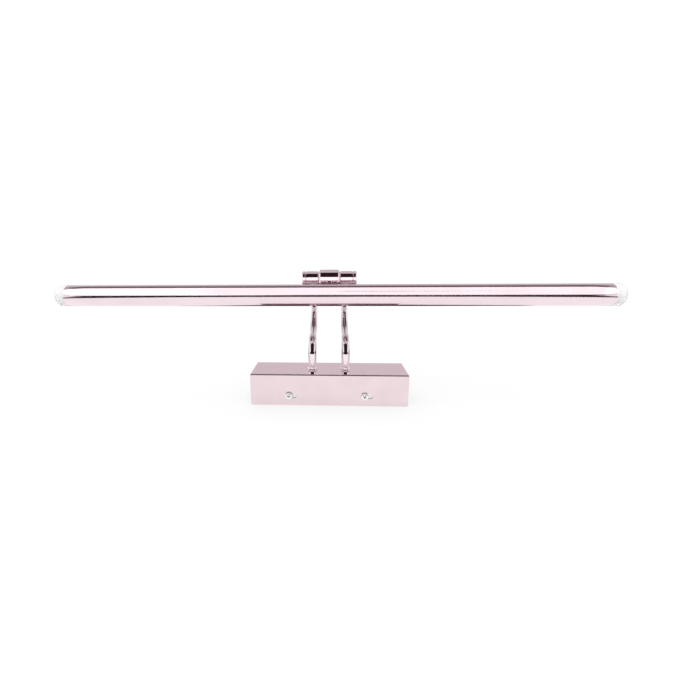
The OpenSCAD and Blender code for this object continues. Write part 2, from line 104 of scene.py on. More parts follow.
# the box, its slots and their screws
BOX = (160, 42, 33)
SHEET, FOLD = 1.0, 1.5
SLOT, SLOT_X, SLOT_Z, SCREW_SHIFT = (12, 5.6), 38.5, 10.5, -2.2
SHANK_R, SHANK_LENGTH, HEAD_R, HEAD_HEIGHT = 2.0, 5.0, 4.0, 2.4

# the knuckle's axis and the lamp's
KNUCKLE = Vector((0, middle("hinge_tube").y, middle("hinge_tube").z))
LAMP = Vector((0, middle("end_cap_left").y, middle("end_cap_left").z))
LIGHT = math.radians(312)

# the arms: how far they reach into the box and stop short of the knuckle's axis, and their bends
ARM_X, ARM_R, ARM_BORE, ARM_HOLE = 17.3, 4.0, 3.0, 4.03
ARM_FOOT, ARM_END = 9, 5.6
LOW_R, RUN, HIGH_R = 17.0, 4.0, 31.0
RISE = KNUCKLE.z - BOX[2] - LOW_R - 2 * HIGH_R
COLLAR_R, COLLAR_NECK_R, COLLAR_EDGE, COLLAR_HEIGHT = 5.6, 4.7, 1.2, 2.6

# the lamp's cross-section and its end caps
TUBE_R, TUBE_BORE, SHELL_HALF = 10.5, 9.5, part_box("lamp_shell")[1].x / MM
OPEN_HALF = math.radians(47)
DIFFUSER_R, LIP_R, DIFFUSER_BORE = 10.45, 9.4, 8.6
DIFFUSER_HALF, FLANGE_HALF = math.radians(46.6), math.radians(53)
CAP_LENGTH, CAP_WALL, CAP_BORE = 9.0, 1.3, 9.2
PLUG_LENGTH, PLUG_R, PLUG_BORE = 7.5, 8.3, 7.0
SEAL, SEAL_R, SEAL_BORE = 0.5, 10.3, 8.35

# the knuckle along X from its middle, then its radii
CENTRE_HALF, WEB_START, WEB_END, BARREL_END, KNUCKLE_HALF = 10.1, 10.62, 13.22, 23.5, 27.2
GROOVE, CENTRE_SLOPE, SPIGOT_LENGTH = 0.8, 1.2, 1.7
CENTRE_R, CENTRE_FACE_R, CENTRE_BORE = 8.8, 7.6, 4.06
BARREL_R, BARREL_BORE, SPIGOT_R, WEB_BORE = 7.3, 5.6, 5.57, 4.03


# ---------- mesh helpers ----------

def polar(radius, angle):
    return (radius * math.cos(angle), radius * math.sin(angle))


def circle(radius, step):
    return [polar(radius, math.radians(a)) for a in range(0, 360, step)]


def outward(mesh):
    """Makes all the faces of a closed mesh look outward."""
    build = bmesh.new()
    build.from_mesh(mesh)
    bmesh.ops.recalc_face_normals(build, faces=build.faces)
    build.to_mesh(mesh)
    build.free()


def placed(name, mesh):
    piece = bpy.data.objects.new(name, mesh)
    scene.collection.objects.link(piece)
    return piece


def add_mesh(name, verts, faces, material, body, sharp=32):
    mesh = bpy.data.meshes.new(name)
    mesh.from_pydata([tuple(v) for v in verts], [], faces)
    mesh.validate()
    outward(mesh)
    return finish_piece(placed(name, mesh), material, body, sharp)


def finish_piece(piece, material, body, sharp=32):
    mesh = piece.data
    mesh.shade_smooth()
    mesh.set_sharp_from_angle(angle=math.radians(sharp))
    mesh.materials.clear()
    mesh.materials.append(material)
    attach(piece, body)
    return piece


def filleted(points, default=0.25, steps=5, radii=None):
    """A closed polygon of 2D points with its corners rounded."""
    out = []
    n = len(points)
    for i, point in enumerate(points):
        p = Vector(point)
        a, b = Vector(points[i - 1]) - p, Vector(points[(i + 1) % n]) - p
        r = (radii or {}).get(i, default)
        if r <= 0:
            out.append(tuple(p))
            continue
        la, lb = a.length, b.length
        a.normalize()
        b.normalize()
        half = math.acos(max(-1, min(1, a.dot(b)))) / 2
        if half > math.radians(87):
            out.append(tuple(p))
            continue
        reach = min(r / math.tan(half), 0.45 * la, 0.45 * lb)
        r = reach * math.tan(half)
        centre = p + (a + b).normalized() * (r / math.sin(half))
        start, end = p + a * reach - centre, p + b * reach - centre
        sweep = start.angle_signed(end)
        for k in range(steps + 1):
            t = -sweep * k / steps
            out.append((
                centre.x + start.x * math.cos(t) - start.y * math.sin(t),
                centre.y + start.x * math.sin(t) + start.y * math.cos(t)))
    return out


def grid_faces(rows, cols, wrap_rows, wrap_cols):
    faces = []
    for i in range(rows if wrap_rows else rows - 1):
        for j in range(cols if wrap_cols else cols - 1):
            a, b = i, (i + 1) % rows
            c, d = j, (j + 1) % cols
            faces.append((a * cols + c, a * cols + d, b * cols + d, b * cols + c))
    return faces


def lathed(name, profile, place, material, body, segments=96, sharp=32):
    """Turns a closed profile of (along, radius) round the X axis of place. A point on the axis is a pole."""
    verts, faces, rings = [], [], []
    for along, radius in profile:
        if radius < 1e-6:
            rings.append([len(verts)])
            verts.append(place @ Vector((along, 0, 0)))
        else:
            rings.append(list(range(len(verts), len(verts) + segments)))
            ring = [polar(radius, 2 * math.pi * k / segments) for k in range(segments)]
            verts += [place @ Vector((along, y, z)) for y, z in ring]
    for i, ring in enumerate(rings):
        other = rings[(i + 1) % len(rings)]
        if len(ring) == 1 and len(other) == 1:
            continue
        for k in range(segments):
            q = (k + 1) % segments
            if len(ring) == 1:
                faces.append((ring[0], other[q], other[k]))
            elif len(other) == 1:
                faces.append((ring[k], ring[q], other[0]))
            else:
                faces.append((ring[k], ring[q], other[q], other[k]))
    return add_mesh(name, [v * MM for v in verts], faces, material, body, sharp)


def extruded(name, section, stations, place, material, body, sharp=32):
    """Draws a closed section of (y, z) along X through stations of (x, inset)."""
    verts, n = [], len(section)
    edge = [Vector(p) for p in section]
    inward = []
    area = sum(edge[i - 1].x * edge[i].y - edge[i].x * edge[i - 1].y for i in range(n))
    for i in range(n):
        d = (edge[(i + 1) % n] - edge[i - 1]).normalized()
        inward.append(Vector((-d.y, d.x)) * (1 if area > 0 else -1))
    for x, inset in stations:
        verts += [place @ Vector((x, p.x + q.x * inset, p.y + q.y * inset)) for p, q in zip(edge, inward)]
    faces = grid_faces(len(stations), n, False, True)
    faces.append(tuple(range(n)))
    faces.append(tuple(range((len(stations) - 1) * n, len(stations) * n))[::-1])
    return add_mesh(name, [v * MM for v in verts], faces, material, body, sharp)


def solid_result(piece):
    """Applies a mesh object's modifiers."""
    bpy.context.view_layer.update()
    done = bpy.data.meshes.new_from_object(piece.evaluated_get(bpy.context.evaluated_depsgraph_get()))
    piece.modifiers.clear()
    piece.data = done
    return piece


def cut(piece, cutters):
    for cutter in cutters:
        step = piece.modifiers.new("cut", "BOOLEAN")
        step.operation, step.solver, step.object = "DIFFERENCE", "EXACT", cutter
    solid_result(piece)
    for cutter in cutters:
        bpy.data.objects.remove(cutter)
    return piece


def prism(name, section, low, high, place):
    """A plain solid used for cutting: a section of (x, y) from low to high along Z of place."""
    n = len(section)
    verts = [place @ Vector((x, y, z)) for z in (low, high) for x, y in section]
    faces = [tuple(range(n))[::-1], tuple(range(n, 2 * n))]
    faces += [(k, (k + 1) % n, (k + 1) % n + n, k + n) for k in range(n)]
    mesh = bpy.data.meshes.new(name)
    mesh.from_pydata([tuple(v * MM) for v in verts], [], faces)
    return placed(name, mesh)


def slot_outline(length, width, steps=20):
    r, half = width / 2, (length - width) / 2
    out = []
    for k in range(2 * steps + 2):
        side = 1 if k <= steps else -1
        t = math.pi * ((k % (steps + 1)) / steps - 0.5)
        out.append((side * (half + r * math.cos(t)), side * r * math.sin(t)))
    return out


def at(point, *turns):
    place = Matrix.Translation(Vector(point))
    for angle, axis in turns:
        place = place @ Matrix.Rotation(angle, 4, axis)
    return place


def turned_out(place, side):
    """place with its X axis turned out to the side."""
    return place if side > 0 else place @ Matrix.Rotation(math.pi, 4, "Z")


# ---------- materials ----------

class Paint:
    """A small helper round a material's nodes."""

    def __init__(self, name):
        self.material = bpy.data.materials.new(name)
        self.material.use_nodes = True
        self.tree = self.material.node_tree
        self.bsdf = self.tree.nodes["Principled BSDF"]
        self.where = self.tree.nodes.new("ShaderNodeTexCoord").outputs["Object"]

    def set(self, **values):
        for key, value in values.items():
            self.bsdf.inputs[key.replace("_", " ")].default_value = value
        return self

    def node(self, kind, **inputs):
        made = self.tree.nodes.new(kind)
        for key, value in inputs.items():
            self.plug(made.inputs[key.replace("_", " ")], value)
        return made

    def plug(self, socket, value):
        if isinstance(value, bpy.types.NodeSocket):
            self.tree.links.new(value, socket)
        else:
            socket.default_value = value

    def stretched(self, scale):
        return self.node("ShaderNodeMapping", Vector=self.where, Scale=scale).outputs["Vector"]

    def noise(self, scale, detail=3.0, stretch=None, rough=0.5):
        where = self.stretched(stretch) if stretch else self.where
        made = self.node("ShaderNodeTexNoise", Vector=where, Scale=scale, Detail=detail, Roughness=rough)
        return made.outputs["Fac"]

    def ramp(self, value, low, high, to_low, to_high):
        made = self.node("ShaderNodeMapRange", Value=value)
        made.inputs["From Min"].default_value, made.inputs["From Max"].default_value = low, high
        made.inputs["To Min"].default_value, made.inputs["To Max"].default_value = to_low, to_high
        return made.outputs["Result"]

    def colours(self, value, stops):
        made = self.tree.nodes.new("ShaderNodeValToRGB")
        self.tree.links.new(value, made.inputs["Fac"])
        ramp = made.color_ramp
        while len(ramp.elements) < len(stops):
            ramp.elements.new(0.5)
        for element, (position, colour) in zip(ramp.elements, stops):
            element.position = position
            element.color = (*colour, 1)
        return made.outputs["Color"]

    def math(self, kind, a, b):
        made = self.tree.nodes.new("ShaderNodeMath")
        made.operation = kind
        self.plug(made.inputs[0], a)
        self.plug(made.inputs[1], b)
        return made.outputs["Value"]

    def bump(self, height, strength, distance):
        made = self.node("ShaderNodeBump", Strength=strength, Height=height)
        made.inputs["Distance"].default_value = distance
        old = self.bsdf.inputs["Normal"]
        if old.is_linked:
            self.tree.links.new(old.links[0].from_socket, made.inputs["Normal"])
        self.tree.links.new(made.outputs["Normal"], old)
        return self


def chrome(name, tint, rough, scratch, wave, grain=None):
    """Plated metal: faint unevenness of the plating, wipe marks, hairline scratches."""
    p = Paint(name).set(Metallic=1.0, IOR=1.5)
    smear = p.noise(38, 4, (1.0, 1.6, 1.6))
    dark = tuple(c * 0.955 for c in tint)
    p.plug(p.bsdf.inputs["Base Color"], p.colours(smear, [(0.35, dark), (0.65, tint)]))
    hair = p.noise(900, 2, grain or (0.04, 1.0, 1.0), 0.6)
    wipe = p.noise(60, 5, (1.4, 1.0, 1.0), 0.65)
    value = p.math("ADD", p.ramp(wipe, 0.35, 0.75, rough * 0.8, rough * 1.35),
                   p.ramp(hair, 0.55, 0.8, 0.0, rough * 0.35))
    p.plug(p.bsdf.inputs["Roughness"], value)
    p.bump(p.noise(22, 2), wave, 0.0006)
    p.bump(hair, scratch, 0.00003)
    return p.material


def plastic(name, colour, rough, speck=0.04, grain=1500):
    """Moulded plastic: fine spark-eroded grain and slight flow marks."""
    p = Paint(name).set(IOR=1.48)
    flow = p.noise(30, 3)
    low = tuple(max(0, c * (1 - speck)) for c in colour)
    high = tuple(min(1, c * (1 + speck)) for c in colour)
    p.plug(p.bsdf.inputs["Base Color"], p.colours(flow, [(0.3, low), (0.7, high)]))
    p.plug(p.bsdf.inputs["Roughness"], p.ramp(p.noise(110, 3), 0.3, 0.7, rough * 0.85, rough * 1.15))
    p.bump(p.noise(grain, 2), 0.25, 0.00004)
    return p.material


def plated(name, colour, rough, spangle=120):
    """Zinc-plated steel: cloudy spangle, matt patches."""
    p = Paint(name).set(Metallic=1.0)
    cells = p.node("ShaderNodeTexVoronoi", Vector=p.where, Scale=spangle).outputs["Color"]
    clouds = p.ramp(p.noise(70, 4), 0.3, 0.7, 0, 0.5)
    tone = p.math("ADD", clouds, p.ramp(cells, 0, 1, 0, 0.5))
    low = tuple(c * 0.84 for c in colour)
    p.plug(p.bsdf.inputs["Base Color"], p.colours(tone, [(0.2, low), (0.8, colour)]))
    p.plug(p.bsdf.inputs["Roughness"], p.ramp(tone, 0, 1, rough * 0.75, rough * 1.3))
    p.bump(p.noise(400, 3), 0.2, 0.00005)
    return p.material


M = {
    "tube": chrome("tube_plating", (0.90, 0.755, 0.80), 0.115, 0.10, 0.03),
    "cover": chrome("cover_plating", (0.86, 0.715, 0.745), 0.075, 0.05, 0.05, (1.0, 0.06, 1.0)),
    "arm": chrome("arm_plating", (0.92, 0.83, 0.87), 0.05, 0.05, 0.05),
    "knuckle": chrome("knuckle_plating", (0.90, 0.76, 0.80), 0.055, 0.08, 0.03, (1.0, 0.05, 0.05)),
    "zinc": plated("zinc_plate", (0.72, 0.73, 0.74), 0.34),
    "bracket": plated("bracket_zinc", (0.86, 0.86, 0.87), 0.3, 60),
    "brass": plated("brass_clamp", (0.80, 0.62, 0.28), 0.28, 300),
    "spring": plated("spring_steel", (0.56, 0.56, 0.58), 0.3, 300),
    "carrier": plated("mill_aluminium", (0.80, 0.81, 0.82), 0.32, 200),
    "black": plastic("component_black", (0.03, 0.03, 0.032), 0.45),
    "rubber": plastic("grommet_rubber", (0.022, 0.022, 0.024), 0.75, 0.2, 2600),
    "terminal": plastic("terminal_nylon", (0.83, 0.82, 0.79), 0.42),
    "driver": plastic("driver_plastic", (0.80, 0.80, 0.78), 0.5, 0.03, 2200),
    "lead": plastic("lead_insulation", (0.50, 0.05, 0.04), 0.38),
    "earth": plastic("earth_insulation", (0.16, 0.42, 0.06), 0.38),
    "board": plastic("circuit_board", (0.02, 0.16, 0.06), 0.32),
    "led_board": plastic("led_board_white", (0.86, 0.86, 0.85), 0.3),
    "phosphor": plastic("led_phosphor", (0.85, 0.62, 0.12), 0.5),
    "nylon": plastic("washer_nylon", (0.80, 0.79, 0.76), 0.35),
}


def acrylic():
    p = Paint("cap_acrylic").set(IOR=1.49, Transmission_Weight=0.55, Roughness=0.03)
    tone = p.colours(p.noise(45, 3), [(0.3, (0.985, 0.97, 0.99)), (0.7, (1.0, 0.99, 1.0))])
    p.plug(p.bsdf.inputs["Base Color"], tone)
    p.plug(p.bsdf.inputs["Roughness"], p.ramp(p.noise(160, 4), 0.3, 0.8, 0.02, 0.09))
    p.bump(p.noise(140, 3), 0.15, 0.0001)
    return p.material


def opal():
    p = Paint("opal_diffuser").set(IOR=1.49, Transmission_Weight=0.35, Subsurface_Weight=0.3)
    p.bsdf.inputs["Subsurface Radius"].default_value = (0.003, 0.003, 0.003)
    tone = p.colours(p.noise(25, 3), [(0.3, (0.90, 0.90, 0.885)), (0.7, (0.95, 0.95, 0.94))])
    p.plug(p.bsdf.inputs["Base Color"], tone)
    p.plug(p.bsdf.inputs["Roughness"], p.ramp(p.noise(700, 3), 0.3, 0.7, 0.42, 0.6))
    p.bump(p.noise(1800, 2), 0.3, 0.00004)
    return p.material


def silicone():
    p = Paint("seal_silicone").set(IOR=1.41, Subsurface_Weight=0.4)
    p.bsdf.inputs["Subsurface Radius"].default_value = (0.002, 0.002, 0.002)
    tone = p.colours(p.noise(60, 3), [(0.3, (0.84, 0.83, 0.85)), (0.7, (0.90, 0.89, 0.91))])
    p.plug(p.bsdf.inputs["Base Color"], tone)
    p.plug(p.bsdf.inputs["Roughness"], p.ramp(p.noise(300, 3), 0.3, 0.7, 0.4, 0.55))
    p.bump(p.noise(1500, 2), 0.2, 0.00004)
    return p.material


def screw_plating_painted_shade():
    """Bright plating with painted shade: its colour goes near black in the recess of the head and round its
    rim, where ambient occlusion finds shade.
    """
    p = Paint("screw_plating_painted_shade").set(Metallic=1.0)
    shade = p.node("ShaderNodeAmbientOcclusion", Distance=0.0016)
    shade.samples = 8
    open_air = p.ramp(shade.outputs["AO"], 0.25, 0.62, 0, 1)
    # painted shade: near black where the head's recess and rim are occluded, the plating's own colour in the
    # open
    tone = p.colours(open_air, [(0.0, (0.05, 0.03, 0.04)), (1.0, (0.94, 0.92, 0.93))])
    p.plug(p.bsdf.inputs["Base Color"], tone)
    p.plug(p.bsdf.inputs["Roughness"], p.ramp(p.noise(500, 3), 0.3, 0.7, 0.12, 0.2))
    p.bump(p.noise(2500, 3), 0.1, 0.00002)
    return p.material


M["acrylic"], M["opal"], M["silicone"], M["screw"] = acrylic(), opal(), silicone(), screw_plating_painted_shade()

# ---------- the lamp ----------

at_lamp = at(LAMP, (LIGHT, "X"))


def tube_shell():
    outer, inner = 180, 120
    start, end = OPEN_HALF, 2 * math.pi - OPEN_HALF
    section = [polar(TUBE_R, start + (end - start) * k / outer) for k in range(outer + 1)]
    section += [polar(TUBE_BORE, end + (start - end) * k / inner) for k in range(inner + 1)]
    section = filleted(section, 0.2, 4)
    stations = [(-SHELL_HALF, 0.2), (-SHELL_HALF + 0.06, 0.06), (-SHELL_HALF + 0.2, 0)]
    stations += [(x, 0) for x in range(-240, 241, 20)]
    stations += [(-x, inset) for x, inset in stations[2::-1]]
    shell = extruded("tube_shell", section, stations, at_lamp, M["tube"], "lamp", 30)
    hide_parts("lamp_shell")


def diffuser_strip():
    steps = 60
    outer = [polar(DIFFUSER_R, DIFFUSER_HALF * (2 * k / steps - 1)) for k in range(steps + 1)]
    flange = [polar(LIP_R, FLANGE_HALF), polar(DIFFUSER_BORE, FLANGE_HALF)]
    inner = [polar(DIFFUSER_BORE, FLANGE_HALF * (1 - 2 * k / steps)) for k in range(1, steps)]
    other = [(y, -z) for y, z in flange[::-1]]
    notch = [polar(LIP_R, DIFFUSER_HALF)]
    section = outer + notch + flange + inner + other + [(y, -z) for y, z in notch]
    section = filleted(section, 0.12, 3)
    stations = [(-SHELL_HALF, 0.1), (-SHELL_HALF + 0.1, 0), (SHELL_HALF - 0.1, 0), (SHELL_HALF, 0.1)]
    strip = extruded("diffuser_strip", section, stations, at_lamp, M["opal"], "lamp", 30)
    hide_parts("diffuser")


def end_caps():
    start = SHELL_HALF + SEAL
    end = start + CAP_LENGTH - SEAL
    outline = [
        (start - PLUG_LENGTH, PLUG_BORE), (start - PLUG_LENGTH, PLUG_R), (start, PLUG_R), (start, TUBE_R),
        (end, TUBE_R), (end, 0), (end - CAP_WALL, 0), (end - CAP_WALL, CAP_BORE),
        (start + CAP_WALL, CAP_BORE), (start + CAP_WALL, PLUG_BORE)]
    rounds = {0: 0.2, 1: 0.4, 2: 0.1, 3: 0.35, 4: 1.5, 5: 0, 6: 0, 7: 0.8, 8: 0.3, 9: 0.2}
    for side, name in SIDES:
        cap = lathed("cap_" + name, filleted(outline, 0.2, 8, rounds), turned_out(at_lamp, side),
                     M["acrylic"], "lamp", 128, 40)
        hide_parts("end_cap_" + name)


def seals():
    outline = [(SHELL_HALF, SEAL_BORE), (SHELL_HALF, SEAL_R), (SHELL_HALF + SEAL, SEAL_R),
               (SHELL_HALF + SEAL, SEAL_BORE)]
    for side, name in SIDES:
        ring = lathed("seal_" + name, filleted(outline, 0.15, 4), turned_out(at_lamp, side), M["silicone"],
                      "lamp", 96)
        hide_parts("cap_seals")


tube_shell()
diffuser_strip()
end_caps()
seals()

# ---------- the knuckle ----------

at_knuckle = at(KNUCKLE)


def centre_barrel():
    edge = CENTRE_HALF - CENTRE_SLOPE
    outline = [(-CENTRE_HALF, CENTRE_BORE), (-CENTRE_HALF, CENTRE_FACE_R), (-edge, CENTRE_R),
               (edge, CENTRE_R), (CENTRE_HALF, CENTRE_FACE_R), (CENTRE_HALF, CENTRE_BORE)]
    barrel = lathed("knuckle_centre", filleted(outline, 0.22, 5, {0: 0.1, 5: 0.1}), at_knuckle,
                    M["knuckle"], "lamp", 160, 25)
    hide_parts("centre_barrel")


def side_barrel(side, name):
    face = BARREL_R - GROOVE
    outline = [
        (WEB_START, WEB_BORE), (WEB_START, face), (WEB_START + GROOVE, BARREL_R),
        (BARREL_END - GROOVE, BARREL_R), (BARREL_END, face), (BARREL_END, BARREL_BORE),
        (WEB_END, BARREL_BORE), (WEB_END, WEB_BORE)]
    sleeve = lathed("sleeve_" + name, filleted(outline, 0.14, 5), turned_out(at_knuckle, side),
                    M["knuckle"], "base", 160, 25)
    towards_arm = at_knuckle @ at((side * ARM_X, 0, 0), (-math.pi / 2, "X"))
    cut(sleeve, [prism("bore", circle(ARM_HOLE, 6), 0.5, 12, towards_arm)])
    finish_piece(sleeve, M["knuckle"], "base", 25)
    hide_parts("barrel_" + name)


def barrel_cap(side, name):
    face, spigot = BARREL_R - GROOVE, BARREL_END - SPIGOT_LENGTH
    outline = [
        (spigot, 0), (spigot, SPIGOT_R), (BARREL_END, SPIGOT_R), (BARREL_END, face),
        (BARREL_END + GROOVE, BARREL_R), (KNUCKLE_HALF - GROOVE, BARREL_R), (KNUCKLE_HALF, face),
        (KNUCKLE_HALF, 0)]
    cap = lathed("knuckle_cap_" + name, filleted(outline, 0.14, 5, {0: 0, 7: 0, 6: 0.3}),
                 turned_out(at_knuckle, side), M["knuckle"], "base", 160, 25)
    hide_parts("barrel_cap_" + name)


def knuckle():
    centre_barrel()
    for side, name in SIDES:
        side_barrel(side, name)
        barrel_cap(side, name)


knuckle()


# ---------- arms ----------

def arm_path():
    """Points and directions of an arm in its own plane, as (y, z)."""
    points = []

    def straight(p, angle, length, steps):
        for k in range(steps):
            t = length * k / steps
            points.append((p[0] + t * math.cos(angle), p[1] + t * math.sin(angle), angle))
        return (p[0] + length * math.cos(angle), p[1] + length * math.sin(angle))

    def bend(p, angle, radius, turn, steps):
        reach = math.copysign(radius, turn)
        centre = (p[0] - reach * math.sin(angle), p[1] + reach * math.cos(angle))

        def on_circle(a):
            return (centre[0] + reach * math.sin(a), centre[1] - reach * math.cos(a))

        for k in range(steps):
            a = angle + turn * k / steps
            points.append((*on_circle(a), a))
        return on_circle(angle + turn), angle + turn

    angle = math.pi / 2
    p = straight((0, BOX[2] - SHEET - ARM_FOOT), angle, RISE + SHEET + ARM_FOOT, 8)
    p, angle = bend(p, angle, LOW_R, -math.pi / 2, 28)
    p = straight(p, angle, RUN, 2)
    p, angle = bend(p, angle, HIGH_R, math.pi, 64)
    tail = p[0] - KNUCKLE[1] - ARM_END
    p = straight(p, angle, tail, 3)
    points.append((p[0], p[1], angle))
    return points


def swan_neck(name, x):
    path = arm_path()
    around = 56
    verts = []
    for radius in (ARM_R, ARM_BORE):
        order = path if radius == ARM_R else path[::-1]
        for y, z, a in order:
            normal = Vector((0, -math.sin(a), math.cos(a)))
            for k in range(around):
                t = 2 * math.pi * k / around
                out = math.cos(t) * Vector((1, 0, 0)) + math.sin(t) * normal
                verts.append((Vector((x, y, z)) + radius * out) * MM)
    faces = grid_faces(2 * len(path), around, True, True)
    arm = add_mesh("neck_" + name, verts, faces, M["arm"], "base", 50)
    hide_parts("arm_" + name)


def rosettes():
    outline = [(0, ARM_HOLE), (0, COLLAR_R), (COLLAR_EDGE, COLLAR_R), (COLLAR_HEIGHT, COLLAR_NECK_R),
               (COLLAR_HEIGHT, ARM_HOLE)]
    for side, name in SIDES:
        place = at((side * ARM_X, 0, BOX[2]), (-math.pi / 2, "Y"))
        ring = lathed("rosette_" + name, filleted(outline, 0.25, 6, {1: 0.15, 2: 0.7, 3: 0.5, 4: 0.1}), place,
                      M["arm"], "base", 96, 30)
        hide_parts("arm_rosettes")


swan_neck("left", -ARM_X)
swan_neck("right", ARM_X)
rosettes()


# ---------- the box ----------

def cover():
    build = bmesh.new()
    bmesh.ops.create_cube(build, size=1)
    for v in build.verts:
        v.co = Vector((v.co.x * BOX[0], v.co.y * BOX[1], (v.co.z + 0.5) * BOX[2])) * MM
    bottom = [f for f in build.faces if f.normal.z < -0.5]
    kept = [e for e in build.edges if not all(v.co.z < 1e-6 for v in e.verts)]
    bmesh.ops.delete(build, geom=bottom, context="FACES_ONLY")
    bmesh.ops.bevel(build, geom=kept, offset=FOLD * MM, offset_type="OFFSET", segments=10, profile=0.5,
                    affect="EDGES", clamp_overlap=True)
    mesh = bpy.data.meshes.new("cover_shell")
    build.to_mesh(mesh)
    build.free()
    shell = placed("cover_shell", mesh)
    wall = shell.modifiers.new("wall", "SOLIDIFY")
    wall.thickness, wall.offset, wall.use_even_offset = SHEET * MM, -1, True
    solid_result(shell)
    cutters = []
    for side, _ in SIDES:
        cutters.append(prism("hole", circle(ARM_HOLE, 5), 20, 50, at((side * ARM_X, 0, 0))))
        across = at((side * SLOT_X, 0, SLOT_Z), (math.pi / 2, "X"))
        cutters.append(prism("slot", slot_outline(*SLOT), -40, 40, across))
    cut(shell, cutters)
    soften = shell.modifiers.new("burr", "BEVEL")
    soften.width, soften.segments, soften.limit_method = 0.18 * MM, 2, "ANGLE"
    soften.angle_limit = math.radians(50)
    solid_result(shell)
    finish_piece(shell, M["cover"], "base", 35)
    flat = shell.modifiers.new("flat", "WEIGHTED_NORMAL")
    flat.keep_sharp = True
    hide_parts("cover_box")


def cross_cutter(place, size, depth, top):
    """The tapered cross of a screwdriver recess, pointing down Z of place."""
    wide, thin = size, 0.26 * size
    outline = [(thin, thin), (thin, wide), (-thin, wide), (-thin, thin), (-wide, thin), (-wide, -thin),
               (-thin, -thin), (-thin, -wide), (thin, -wide), (thin, -thin), (wide, -thin), (wide, thin)]
    n = len(outline)
    verts = [place @ Vector((x * 1.12, y * 1.12, top)) for x, y in outline]
    verts += [place @ Vector((x * 0.62, y * 0.62, top - depth)) for x, y in outline]
    faces = [tuple(range(n)), tuple(range(n, 2 * n))[::-1]]
    faces += [(k, k + n, (k + 1) % n + n, (k + 1) % n) for k in range(n)]
    mesh = bpy.data.meshes.new("cross")
    mesh.from_pydata([tuple(v * MM) for v in verts], [], faces)
    outward(mesh)
    return placed("cross", mesh)


def pan_head(name, place, twist):
    """A pan-head screw along -Z of place, its head above."""
    shoulder = 0.42
    low, side_height = 0.96 * HEAD_R, shoulder * HEAD_HEIGHT
    outline = [(-SHANK_LENGTH, 0), (-SHANK_LENGTH, SHANK_R), (0, SHANK_R), (0, low), (side_height, low)]
    dome = [(HEAD_HEIGHT * (shoulder + (1 - shoulder) * math.sin(math.radians(a))),
             low * (1 - 0.42 * (1 - math.cos(math.radians(a))))) for a in range(15, 91, 15)]
    crown = [(HEAD_HEIGHT, low * 0.3), (HEAD_HEIGHT, 0)]
    profile = filleted(outline, 0.15, 4, {0: 0, 1: 0.2, 2: 0, 3: 0.12, 4: 0}) + dome + crown
    screw = lathed(name, profile, place @ Matrix.Rotation(-math.pi / 2, 4, "Y"), M["screw"],
                   "base", 72, 40)
    turned = place @ Matrix.Rotation(twist, 4, "Z")
    cut(screw, [cross_cutter(turned, 0.46 * HEAD_R, 0.62 * HEAD_HEIGHT, HEAD_HEIGHT + 0.02)])
    soften = screw.modifiers.new("burr", "BEVEL")
    soften.width, soften.segments, soften.limit_method = 0.05 * MM, 2, "ANGLE"
    soften.angle_limit = math.radians(40)
    solid_result(screw)
    finish_piece(screw, M["screw"], "base", 38)
    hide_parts("cover_screws")


def cover_screws():
    for s, name in SIDES:
        for side, twist, face in ((-1, 0.35, "front"), (1, 1.1, "back")):
            place = at((SCREW_SHIFT + s * SLOT_X, side * BOX[1] / 2, SLOT_Z), (-side * math.pi / 2, "X"))
            pan_head(f"cover_screw_{name}_{face}", place, twist + s * 0.6)


cover()
cover_screws()

# ---------- CAD pieces that stay, with their finish ----------

FINISH = {
    "wall_bracket": ("bracket", 0.12), "cable_grommet": ("rubber", 0.3), "terminal_block": ("terminal", 0.25),
    "terminal_screws": ("brass", 0.08), "mains_leads": ("lead", 0), "earth_screw": ("zinc", 0.06),
    "earth_lead": ("earth", 0), "driver_case": ("driver", 0.3), "driver_lid": ("driver", 0.2),
    "driver_board": ("board", 0.1), "driver_components": ("black", 0.2), "driver_screws": ("zinc", 0.06),
    "arm_washers": ("zinc", 0.1), "arm_nuts": ("zinc", 0.25), "arm_leads": ("lead", 0),
    "hinge_tube": ("zinc", 0.08), "hinge_nuts": ("zinc", 0.1), "spring_washers": ("spring", 0.04),
    "friction_washers": ("nylon", 0.06), "lamp_saddle": ("knuckle", 0.35), "saddle_screws": ("zinc", 0.06),
    "led_carrier": ("carrier", 0.1), "led_board": ("led_board", 0.08), "led_chips": ("phosphor", 0.05),
    "lamp_leads": ("lead", 0),
}
for name, (finish, edge) in FINISH.items():
    node = nodes[name]
    node.data.materials.clear()
    node.data.materials.append(M[finish])
    if edge:
        soft = node.modifiers.new("edge", "BEVEL")
        soft.width, soft.segments, soft.limit_method = edge * MM, 3, "ANGLE"
        soft.angle_limit = math.radians(40)
        soft.harden_normals = True

# ---------- studio: in metres, but an arc's middle is in mm ----------

scene.view_settings.view_transform = "Standard"
MAROON = (0.03, 0.011, 0.018)
SIDE_GLOW = (0.68, 0.86)
CARD_HEIGHT = 0.0325
FLOOR_HALF, FLOOR_DROP = 6.0, 0.00005


def glowing(name, colour, strength):
    material = bpy.data.materials.new(name)
    material.use_nodes = True
    tree = material.node_tree
    tree.nodes.clear()
    glow = tree.nodes.new("ShaderNodeEmission")
    glow.inputs["Color"].default_value = (*colour, 1)
    glow.inputs["Strength"].default_value = strength
    tree.links.new(glow.outputs[0], tree.nodes.new("ShaderNodeOutputMaterial").inputs[0])
    return material


def facing(where, target):
    turn = (Vector(where) - Vector(target)).to_track_quat("Z", "Y").to_matrix().to_4x4()
    return Matrix.Translation(Vector(where)) @ turn


def unseen(piece):
    """The piece shows only in reflections."""
    piece.visible_camera = piece.visible_diffuse = piece.visible_transmission = piece.visible_shadow = False


def card(name, verts, faces, colour):
    mesh = bpy.data.meshes.new(name)
    mesh.from_pydata(verts, [], faces)
    mesh.materials.append(glowing(name, colour, 1.0))
    unseen(placed(name, mesh))


